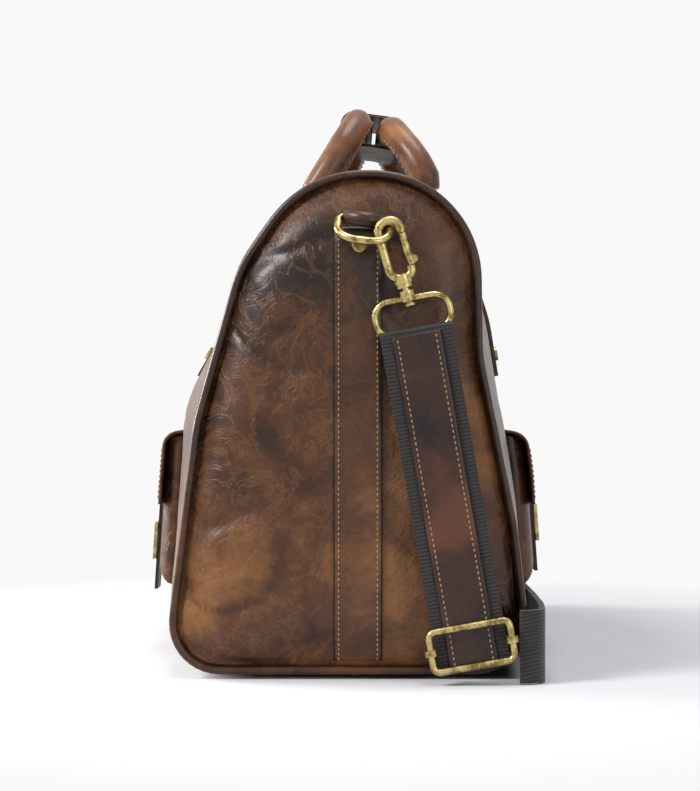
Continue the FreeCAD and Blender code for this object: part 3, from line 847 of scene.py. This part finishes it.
@dataclass
class EndPanel:
    """Swollen, creased end panel with its piping.

    Attributes:
        end: Which end of the bag.
        rings: Rings of faces from the middle to the rim.
        spokes: Faces round the rim.
        relief: Strength of the creases.
    """

    end: End
    rings: int = 46
    spokes: int = 260
    relief: float = 1.0

    def build(self) -> None:
        """Builds the panel and its piping."""
        word = self.end.word
        sign = self.end.value
        low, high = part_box(f"end_piping_{word}")
        seam = (low.x + high.x) / 2
        self.middle = Vector((seam, (low.y + high.y) / 2, (low.z + high.z) / 2))
        piping = Surface.of_nodes(f"end_piping_{word}")
        panel = Surface.of_nodes(f"end_panel_{word}")
        rim = []
        centres = []
        for spoke in range(self.spokes):
            angle = 2 * math.pi * spoke / self.spokes
            outward = Vector((0, math.cos(angle), math.sin(angle)))
            inner, _ = piping.hit(self.middle, outward)
            outer, _ = piping.hit(self.middle + outward * 0.5, -outward)
            rim.append((inner - self.middle).length)
            centres.append((inner + outer) / 2)
        mesh = bmesh.new()
        wear = []
        rows = []
        for ring in range(self.rings + 1):
            share = (ring / self.rings) ** 0.8 + 0.004
            row = []
            for spoke in range(self.spokes):
                angle = 2 * math.pi * spoke / self.spokes
                outward = Vector((0, math.cos(angle), math.sin(angle)))
                reach = min(share, 1.0) * (rim[spoke] + 0.0006)
                place = self.middle + outward * reach
                start = place + Vector((0.1 * sign, 0, 0))
                found = panel.hit(start, Vector((-sign, 0, 0)))
                level = found[0].x if found else seam - 0.002 * sign
                depth = min(1.0, (1 - min(share, 1.0)) * 14)
                place.x = level
                height, wear_and_crease_shade = crumple(place, 3.1 * sign, self.relief * (0.15 + 0.85 * depth))
                inward = (1 - min(share, 1.0)) * rim[spoke]
                pucker = gathers(angle * 0.13, inward, 2.0 * sign) * min(1.0, inward * 400)
                place.x += (height + pucker) * sign
                # Colour value: wear and painted crease shade from crumple; raised puckers paler,
                # sunk ones darkened as painted shade.
                wear.append(min(1.0, max(0.0, wear_and_crease_shade + pucker * 160)))
                row.append(place)
            rows.append(row)
        made = add_rows(mesh, rows, closed=True)
        cap(mesh, made[0])
        set_grid_wear(mesh, made, wear)
        self.piece = finish_piece(
            mesh, f"end_panel_leather_{word}", PANEL, "bag", [f"end_panel_{word}"]
        )
        thicken(self.piece, 0.002)
        self.dress(centres)

    def dress(self, centres: Sequence[Vector]) -> None:
        """Adds the piping, slightly uneven as rolled leather is."""
        word = self.end.word
        radius = (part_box(f"end_piping_{word}")[1].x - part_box(f"end_piping_{word}")[0].x) / 2

        def profile(angle: float, index: int) -> tuple[float, float]:
            place = centres[index] * 60 + Vector((angle, 0, 0)) * 0.6
            size = radius * (1 + 0.05 * noise.noise(place))
            return size * math.cos(angle), size * math.sin(angle)

        mesh = bmesh.new()
        sweep(mesh, centres, profile, 14, X_AXIS, closed=True)
        finish_piece(mesh, f"piping_{word}", PIPING, "bag", [f"end_piping_{word}"])


@dataclass
class BagBody:
    """Side panels, base and fixed top leather, as one soft creased skin.

    Attributes:
        stations: Faces along the bag.
        girth: Faces round the section.
        relief: Strength of the creases.
        limit: The most that a crease rises or sinks, so that it stays clear of lining and patches.
    """

    stations: int = 170
    girth: int = 250
    relief: float = 1.25
    limit: float = 0.0013

    def build(self) -> None:
        """Builds the skin from the base round to both edges of the mouth."""
        nodes = ["base_panel", "front_panel", "back_panel"]
        cad = Surface.of_nodes(*nodes)
        low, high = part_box("front_panel")
        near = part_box("mouth_strip_front")[0].y
        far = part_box("mouth_strip_back")[1].y
        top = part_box("mouth_strip_front")[0].z
        hub = Vector((0, 0, 0.14))
        start = math.atan2(top - hub.z, near - 0.0006) - 2 * math.pi
        stop = math.atan2(top - hub.z, far + 0.0006)
        rows = []
        for station in range(self.stations + 1):
            along = low.x + 0.0004 + (high.x - low.x - 0.0008) * station / self.stations
            row = []
            for step in range(self.girth + 1):
                angle = start + (stop - start) * step / self.girth
                outward = Vector((0, math.cos(angle), math.sin(angle)))
                centre = Vector((along, 0, hub.z))
                found = cad.hit(centre + outward * 0.4, -outward)
                row.append((found[0] if found else None, outward))
            rows.append(self.mended(row))
        mesh = bmesh.new()
        lifted = [[self.relieved(*spot, low.z) for spot in row] for row in rows]
        made = add_rows(mesh, [[place for place, _ in row] for row in lifted])
        # Wear with painted shade in the deep creases, from crumple.
        set_grid_wear(mesh, made, (wear_and_crease_shade for row in lifted for _, wear_and_crease_shade in row))
        self.piece = finish_piece(mesh, "bag_skin", PANEL, "bag", nodes)
        thicken(self.piece, 0.0018)

    def mended(self, row: list) -> list:
        """Fills the rays that went through a seam gap from their neighbours."""
        known = [index for index, (place, _) in enumerate(row) if place is not None]
        fixed = []
        for index, (place, outward) in enumerate(row):
            if place is None:
                nearest = min(known, key=lambda other: abs(other - index))
                place = row[nearest][0].copy()
            fixed.append((place, outward))
        return fixed

    def relieved(self, place: Vector, outward: Vector, floor: float) -> tuple[Vector, float]:
        """Adds creases and a little sag, keeping the underside flat."""
        strength = self.relief * min(1.0, max(0.05, (place.z - floor - 0.004) / 0.02))
        height, wear_and_crease_shade = crumple(place, 11.0, strength)
        height = self.limit * math.tanh(height / 0.002) * min(1.0, strength)
        return place + outward * height, wear_and_crease_shade


@dataclass
class EndStrap:
    """Stitched strap down an end panel, folded at the top round the D-ring.

    Attributes:
        end: Which end.
        panel: The end panel piece it lies on.
        thick: Strap thickness.
        width: Strap width.
        aside: How far its middle is from the D-ring's pivot.
    """

    end: End
    panel: bpy.types.Object
    thick: float = 0.0024
    width: float = 0.027
    aside: float = 0.004

    def build(self) -> None:
        """Builds the strap, its chape loop and its stitches."""
        word = self.end.word
        sign = self.end.value
        joint = joint_named(f"d_ring_swing_{word}")
        pivot = Vector(joint["pos_m"])
        axle = Vector(joint["axis"]).normalized()
        if axle.y < 0:
            axle = -axle
        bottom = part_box(f"end_strap_{word}")[0].z
        middle = pivot.y - self.aside
        ground = Surface([self.panel])
        count = 120
        top = pivot.z - 0.004
        rows = []
        edges: dict[int, list] = {-1: [], 1: []}
        sections = 22
        section = flat_profile(self.width, self.thick, 0.0006)
        for step in range(count + 1):
            level = bottom + (top - bottom) * step / count
            row = []
            base = self.ground_at(ground, middle, level, sign)
            for corner in range(sections):
                across, rise = section(2 * math.pi * corner / sections, 0)
                here = self.ground_at(ground, middle + across, level, sign)
                lift = 0.6 * here.x + 0.4 * base.x
                out = lift + sign * (self.thick / 2 + rise + 0.0002)
                row.append(Vector((out, middle + across, level)))
            rows.append(row)
            for edge in edges:
                across = edge * (self.width / 2 - 0.0022)
                here = self.ground_at(ground, middle + across, level, sign)
                lift = 0.6 * here.x + 0.4 * base.x + sign * (self.thick + 0.0004)
                edges[edge].append((Vector((lift, middle + across, level)), Vector((sign, 0, 0))))
        mesh = bmesh.new()
        made = add_rows(mesh, rows, closed=True)
        cap(mesh, made[0])
        cap(mesh, made[-1])
        self.add_chape(mesh, pivot, axle, sign)
        set_wear(mesh, {vertex: 0.35 + 0.3 * noise.noise(vertex.co * 90) for vertex in mesh.verts})
        finish_piece(mesh, f"end_strap_leather_{word}", STRAP_PANEL, "bag", [f"end_strap_{word}"])
        stitch_piece(f"end_strap_stitches_{word}", list(edges.values()), "bag")
        # Dark tubes along both strap edges: edge paint, and painted shade where the strap steps
        # down to the panel.
        borders = bmesh.new()
        for edge, line in edges.items():
            shift = Vector((-sign * 0.0014, edge * 0.0022, 0))
            sweep(borders, [point + shift for point, _ in line], round_profile(0.0007), 6, X_AXIS)
        finish_piece(borders, f"end_strap_borders_{word}", EDGE_PAINT_AND_SHADE, "bag")

    def ground_at(self, ground: Surface, across: float, level: float, sign: int) -> Vector:
        """The panel's surface under a place on the strap."""
        found = ground.hit(Vector((0.4 * sign, across, level)), Vector((-sign, 0, 0)))
        return found[0] if found else Vector((0.232 * sign, across, level))

    def add_chape(
        self, mesh: bmesh.types.BMesh, pivot: Vector, axle: Vector, sign: int
    ) -> None:
        """Adds the folded leather round the D-ring's bar."""
        outer = 0.0047
        inner = 0.0028
        half = 0.0125
        outward = axle.cross(Z_AXIS).normalized()
        if outward.x * sign < 0:
            outward = -outward
        rows = []
        turns = 26
        for step in range(turns + 1):
            angle = math.radians(-150 + 300 * step / turns)
            direction = outward * math.cos(angle) + Z_AXIS * math.sin(angle)
            ring = []
            for side, radius in ((-1, inner), (-1, outer), (1, outer), (1, inner)):
                bulge = 1 + 0.03 * noise.noise(Vector((step * 0.4, side, radius * 900)))
                ring.append(pivot + axle * side * half + direction * radius * bulge)
            rows.append(ring)
        made = add_rows(mesh, rows, closed=True)
        mesh.faces.new(made[0])
        mesh.faces.new(made[-1])
        edges = [edge for edge in mesh.edges if all(vertex in made[0] for vertex in edge.verts)]
        bmesh.ops.bevel(
            mesh, geom=edges, offset=0.0004, segments=2, profile=0.5, affect="EDGES", material=-1
        )


def joint_named(name: str) -> dict:
    """The record's joint of that name."""
    return next(joint for joint in frame["joints"] if joint["name"] == name)


# ---------------------------------------------------------------- handles


@dataclass
class Handle:
    """A rolled handle: round leather with a sewn ridge, following its CAD tube.

    Attributes:
        side: Which long side it belongs to.
        radius: Radius of the roll.
    """

    side: Side
    radius: float = 0.0096

    def build(self) -> None:
        """Builds the roll and its whip stitches."""
        node = f"handle_{self.side.word}"
        self.body = node
        line = smooth_line(self.middle_points(node), 0.003)
        inward = Vector((0, -self.side.value, 0))
        ridge = 0.0011

        def profile(angle: float, index: int) -> tuple[float, float]:
            lump = 0.00035 * noise.noise(line[index] * 45 + Vector((angle, 0, 0)))
            seam = ridge * math.exp(-(((angle - math.pi / 2) / 0.16) ** 2))
            near_end = min(index, len(line) - 1 - index)
            taper = min(1.0, 0.4 + 0.2 * near_end) ** 0.5
            size = (self.radius - 0.0004 + lump + seam) * taper
            return size * math.cos(angle), size * math.sin(angle)

        mesh = bmesh.new()
        sweep(mesh, line, profile, 36, inward)
        wear = {vertex: 0.5 + 0.5 * noise.noise(vertex.co * 40) for vertex in mesh.verts}
        set_wear(mesh, wear)
        finish_piece(mesh, f"rolled_handle_{self.side.word}", HANDLE, self.body, [node])
        seam_line = []
        for index in range(1, len(line) - 1):
            along = (line[index + 1] - line[index - 1]).normalized()
            sideways = along.cross(inward).normalized()
            upward = sideways.cross(along).normalized()
            seam_line.append((line[index] + upward * (self.radius + ridge - 0.0006), upward))
        stitch_piece(
            f"handle_stitches_{self.side.word}", [seam_line], self.body,
            pitch=0.0042, length=0.0036, radius=0.0004, slant=0.9,
        )

    def middle_points(self, node: str) -> list[Vector]:
        """Points down the middle of the CAD tube, from one foot to the other."""
        low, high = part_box(node)
        legs = []
        levels = 9
        for step in range(levels):
            level = low.z + 0.012 + (high.z - low.z - 0.036) * step / (levels - 1)
            legs.append(self.slice_middle(node, Vector((0, 0, level)), Z_AXIS, right=True))
        grips = [
            self.slice_middle(node, Vector((share * high.x, 0, 0)), X_AXIS, right=True)
            for share in (0.66, 0.5, 0.25, 0.02)
        ]
        right = [point for point in legs + grips if point is not None]
        start = right[0] + (right[0] - right[1]).normalized() * 0.006
        right = [start] + right
        left = [Vector((-point.x, point.y, point.z)) for point in reversed(right)]
        return right + left

    def slice_middle(self, node: str, place: Vector, normal: Vector, right: bool) -> Vector | None:
        """The middle of the tube's cut by a plane."""
        mesh = bmesh.new()
        mesh.from_mesh(frame["nodes"][node].data)
        geometry = mesh.verts[:] + mesh.edges[:] + mesh.faces[:]
        cut = bmesh.ops.bisect_plane(mesh, geom=geometry, plane_co=place, plane_no=normal)
        found = [part for part in cut["geom_cut"] if isinstance(part, bmesh.types.BMVert)]
        points = [vertex.co.copy() for vertex in found]
        mesh.free()
        points = [point for point in points if (point.x > 0) == right]
        if not points:
            return None
        low = Vector([min(point[axis] for point in points) for axis in range(3)])
        high = Vector([max(point[axis] for point in points) for axis in range(3)])
        return (low + high) / 2


@dataclass
class HandleWrap:
    """Leather cuff round both grips, closed by a snap.

    Attributes:
        thick: Leather thickness.
        relief: Height of its small creases.
    """

    thick: float = 0.0016
    relief: float = 0.0004

    def build(self) -> None:
        """Builds the cuff's two layers and gives its cap, the snap, a finish."""
        front_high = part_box("handle_front")[1]
        back_low, back_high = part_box("handle_back")
        radius = 0.0101
        grip = 0.0096
        near = Vector((0, front_high.y - grip, front_high.z - grip))
        far = Vector((0, back_low.y + grip, back_high.z - grip))
        self.layer("handle_cuff", WRAP, near, far, radius + self.thick, ["handle_wrap"])
        self.layer("handle_cuff_inside", CUFF_INSIDE, near, far, radius + self.thick * 0.45, [])
        paint("wrap_snap", BRASS)

    def layer(
        self,
        name: str,
        finish: LeatherFinish,
        near: Vector,
        far: Vector,
        size: float,
        replaced: list[str],
    ) -> None:
        """One of the cuff's two layers of leather.

        Args:
            name: The piece's name.
            finish: Its finish.
            near: Middle of the front grip.
            far: Middle of the back grip.
            size: Radius of the layer's outside.
            replaced: CAD nodes that it stands for.
        """
        low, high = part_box("handle_wrap")
        rows = []
        count = 40
        around = 72
        for step in range(count + 1):
            along = low.x + (high.x - low.x) * step / count
            row = []
            for corner in range(around):
                angle = 2 * math.pi * corner / around
                row.append(self.outline(near, far, size, angle, along))
            rows.append(row)
        mesh = bmesh.new()
        add_rows(mesh, rows, closed=True)
        set_wear(mesh, {vertex: 0.4 + 0.4 * noise.noise(vertex.co * 60) for vertex in mesh.verts})
        cuff = finish_piece(mesh, name, finish, "handle_back", replaced)
        thicken(cuff, self.thick * 0.5)
        bpy.context.view_layer.update()
        squashed = self.applied(cuff)
        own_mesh(squashed)

    def outline(self, near: Vector, far: Vector, size: float, angle: float, along: float) -> Vector:
        """A point on the cuff's outside: a slack band round both grips."""
        direction = Vector((0, math.cos(angle), math.sin(angle)))
        centre = far if direction.y > 0 else near
        blend = min(1.0, abs(direction.y) * 3)
        middle = (near + far) / 2
        base = middle.lerp(centre, blend)
        sag = 0.0012 * (1 - blend) * (1 if direction.z < 0 else 0.4)
        lump = self.relief * noise.noise(Vector((along * 50, direction.y * 2, direction.z * 2)))
        place = base + direction * (size - sag + lump)
        return Vector((along, place.y, place.z))

    def applied(self, piece: bpy.types.Object) -> bpy.types.Object:
        """Makes the piece's modifiers part of its mesh."""
        depsgraph = bpy.context.evaluated_depsgraph_get()
        piece.data = bpy.data.meshes.new_from_object(piece.evaluated_get(depsgraph))
        piece.modifiers.clear()
        return piece


# ---------------------------------------------------------------- straps and metal


@dataclass
class Hardware:
    """D-ring, snap hook, gate, swivel loop and rivet at one end."""

    end: End

    def build(self) -> None:
        """Gives each metal piece its finish."""
        word = self.end.word
        for node in ("d_ring", "hook", "hook_gate", "swivel_loop", "end_rivet"):
            paint(f"{node}_{word}", BRASS)


@dataclass
class HangingStrap:
    """Webbing folded round the swivel loop, with a stitched leather strip on its face."""

    end: End
    margin: float = 0.0028

    def build(self) -> None:
        """Dresses the webbing, and builds the strip, its stitches and its dark edges, which are
        edge paint and painted shade.
        """
        word = self.end.word
        sign = self.end.value
        paint(f"strap_webbing_{word}", WEBBING)
        if self.end is End.RIGHT:
            paint("strap_side_run", WEBBING)
            paint("slide_buckle", BRASS)
            paint("slide_buckle_bar", BRASS)
        upward = Vector(joint_named("buckle_adjust")["axis"]).normalized()
        across = Vector((0, upward.z, -upward.y))
        points = [vertex.co for vertex in frame["nodes"][f"strap_leather_{word}"].data.vertices]
        heights = [point.dot(upward) for point in points]
        widths = [point.dot(across) for point in points]
        fronts = [point.x for point in points]
        width = max(widths) - min(widths)
        thick = max(fronts) - min(fronts)
        middle = (max(widths) + min(widths)) / 2
        level = (max(fronts) + min(fronts)) / 2
        line = []
        count = 150
        for step in range(count + 1):
            height = max(heights) + (min(heights) - max(heights)) * step / count
            wave = 0.0004 * noise.noise(Vector((height * 14, word == "right", 0.5)))
            line.append(upward * height + across * middle + Vector((level + sign * wave, 0, 0)))
        mesh = bmesh.new()
        outward = Vector((sign, 0, 0))
        sweep(mesh, line, flat_profile(width, thick * 0.9, 0.0004), 28, outward)
        set_wear(mesh, {vertex: 0.45 + 0.6 * noise.noise(vertex.co * 38) for vertex in mesh.verts})
        body = f"strap_{word}"
        finish_piece(mesh, f"strap_strip_{word}", STRAP, body, [f"strap_leather_{word}"])
        rows = []
        # Dark tubes along both edges of the strip: edge paint, and painted shade where the strip's
        # edges step down.
        borders = bmesh.new()
        for side in (-1, 1):
            shift = across * side * (width / 2 - self.margin) + outward * (thick / 2)
            rows.append([(point + shift, outward) for point in line[1:-1]])
            edge = across * side * (width / 2 - 0.0002) - outward * thick * 0.1
            sweep(borders, [point + edge for point in line[::3]], round_profile(0.0006), 6, outward)
        stitch_piece(f"strap_stitches_{word}", rows, body)
        finish_piece(borders, f"strap_borders_{word}", EDGE_PAINT_AND_SHADE, body)


@dataclass
class Pocket:
    """Soft side pocket under a flap with closing straps.

    Attributes:
        side: Which long side.
        rounding: How far in from its edges the pocket reaches its full depth.
        columns: Faces along the pocket.
        rows: Faces up the pocket.
    """

    side: Side
    rounding: float = 0.016
    columns: int = 110
    rows: int = 56

    def build(self) -> None:
        """Builds the pocket and its flap, and dresses the closing straps."""
        word = self.side.word
        sign = self.side.value
        self.panel = Surface.of_nodes(f"{word}_panel", "base_panel")
        self.outside = Surface.of_nodes(f"pocket_{word}")
        self.cover = Surface.of_nodes(f"pocket_flap_{word}")
        low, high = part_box(f"pocket_{word}")
        mesh = bmesh.new()
        wear = []
        grid = []
        for row in range(self.rows + 1):
            height = low.z + (high.z - low.z) * row / self.rows
            line = []
            for column in range(self.columns + 1):
                along = low.x + (high.x - low.x) * column / self.columns
                base = self.level(self.panel, along, height, sign) + 0.0004 * sign
                full = self.level(self.outside, along, min(height, high.z - 0.001), sign)
                edge = min(along - low.x, high.x - along, height - low.z)
                share = min(1.0, max(0.0, edge) / self.rounding)
                share = math.sqrt(1 - (1 - share) ** 2)
                relief, wear_and_crease_shade = crumple(Vector((along, full, height)), 21.0, 0.45 * share)
                relief = min(relief, 0.0)
                line.append(Vector((along, base + (full - base) * share + relief * sign, height)))
                # Wear with painted shade in the deep creases, from crumple.
                wear.append(wear_and_crease_shade)
            grid.append(line)
        made = add_rows(mesh, grid)
        set_grid_wear(mesh, made, wear)
        pocket = finish_piece(mesh, f"soft_pocket_{word}", PANEL, "bag", [f"pocket_{word}"])
        thicken(pocket, 0.0018)
        self.build_flap(word, sign)
        paint(f"closing_straps_{word}", STRAP)
        paint(f"closing_buckles_{word}", BRASS)

    def level(self, surface: Surface, along: float, height: float, sign: int) -> float:
        """Y of a surface at a place, met from outside the bag."""
        found = surface.hit(Vector((along, 0.4 * sign, height)), Vector((0, -sign, 0)))
        return found[0].y if found else 0.11 * sign

    def build_flap(self, word: str, sign: int) -> None:
        """Builds the flap from its hinge, over the pocket's mouth and down its face."""
        low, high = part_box(f"pocket_flap_{word}")
        turn = 0.012
        bend = 12
        straight = 28
        mesh = bmesh.new()
        grid = []
        wear = []
        for step in range(bend + straight + 1):
            line = []
            for column in range(self.columns + 1):
                along = low.x + (high.x - low.x) * column / self.columns
                face = self.level(self.cover, along, high.z - 0.004, sign)
                hinge = self.level(self.panel, along, high.z - 0.0006, sign)
                if step <= bend:
                    share = step / bend
                    down = self.level(self.cover, along, high.z - turn, sign)
                    first = Vector((along, hinge, high.z - 0.0004))
                    corner = Vector((along, face, high.z - 0.0004))
                    last = Vector((along, down, high.z - turn))
                    point = first.lerp(corner, share).lerp(corner.lerp(last, share), share)
                else:
                    height = high.z - turn - (high.z - turn - low.z) * (step - bend) / straight
                    point = Vector((along, self.level(self.cover, along, height, sign), height))
                relief, wear_and_crease_shade = crumple(point, 31.0, 0.3)
                point.y += min(relief, 0.0) * sign
                line.append(point)
                # Wear with painted shade in the deep creases, from crumple.
                wear.append(wear_and_crease_shade)
            grid.append(line)
        made = add_rows(mesh, grid)
        set_grid_wear(mesh, made, wear)
        body = f"flap_{word}"
        flap = finish_piece(mesh, f"soft_flap_{word}", PANEL, body, [f"pocket_flap_{word}"])
        thicken(flap, 0.002)
        outward = Vector((0, sign, 0))
        inset = 2
        above = outward * 0.0003
        lines = [[(point + above + Z_AXIS * 0.004, outward) for point in grid[-1][inset:-inset]]]
        for edge in (inset, -1 - inset):
            lines.append([(line[edge] + above, outward) for line in grid[bend:-2]])
        stitch_piece(f"flap_stitches_{word}", lines, body)


@dataclass
class Zip:
    """Rows of separate teeth, in place of the CAD's plain bars.

    Attributes:
        side: The half of the mouth.
        pitch: Distance between teeth of one row.
    """

    side: Side
    pitch: float = 0.0026

    def build(self) -> None:
        """Builds one row of teeth."""
        word = self.side.word
        low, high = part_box(f"zip_teeth_{word}")
        size = Vector((self.pitch * 0.52, high.y - low.y, high.z - low.z))
        start = low.x + self.pitch * (0.5 if self.side is Side.FRONT else 1.0)
        mesh = bmesh.new()
        for number in range(int((high.x - low.x) / self.pitch) - 1):
            middle = (low + high) / 2
            middle.x = start + number * self.pitch
            shape = Matrix.Translation(middle) @ Matrix.Diagonal((*size, 1))
            bmesh.ops.create_cube(mesh, size=1, matrix=shape)
        body = f"mouth_{word}"
        piece = finish_piece(mesh, f"teeth_{word}", ZIP_BRASS, body, [f"zip_teeth_{word}"])
        piece.data.shade_flat()
        paint(f"zip_tape_{word}", TAPE)
        paint(f"mouth_strip_{word}", PANEL)


@dataclass
class PlainNodes:
    """CAD nodes whose shape is right and only need a finish."""

    def build(self) -> None:
        """Paints them."""
        for side in Side:
            word = side.word
            paint(f"handle_patches_{word}", PATCH)
            paint(f"patch_rivets_{word}", BRASS)
        for end in End:
            paint(f"zip_end_{end.word}", PANEL)
            paint(f"zip_chain_end_{end.word}", ZIP_BRASS)
        paint("lining", LINING)
        paint("base_board", BOARD)
        paint("base_feet", BRASS)
        paint("zip_slider", ZIP_BRASS)
        paint("zip_pull", ZIP_BRASS)


def main() -> None:
    """Builds every sub-assembly in order."""
    logging.basicConfig(level=logging.INFO, format="%(name)s: %(message)s")
    noise.seed_set(CREASE_SEED)
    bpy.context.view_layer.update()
    Studio().build()
    for end in End:
        panel = EndPanel(end)
        panel.build()
        EndStrap(end, panel.piece).build()
        Hardware(end).build()
        HangingStrap(end).build()
    BagBody().build()
    for side in Side:
        Handle(side).build()
        Pocket(side).build()
        Zip(side).build()
    HandleWrap().build()
    PlainNodes().build()


if __name__ == "__main__":
    main()
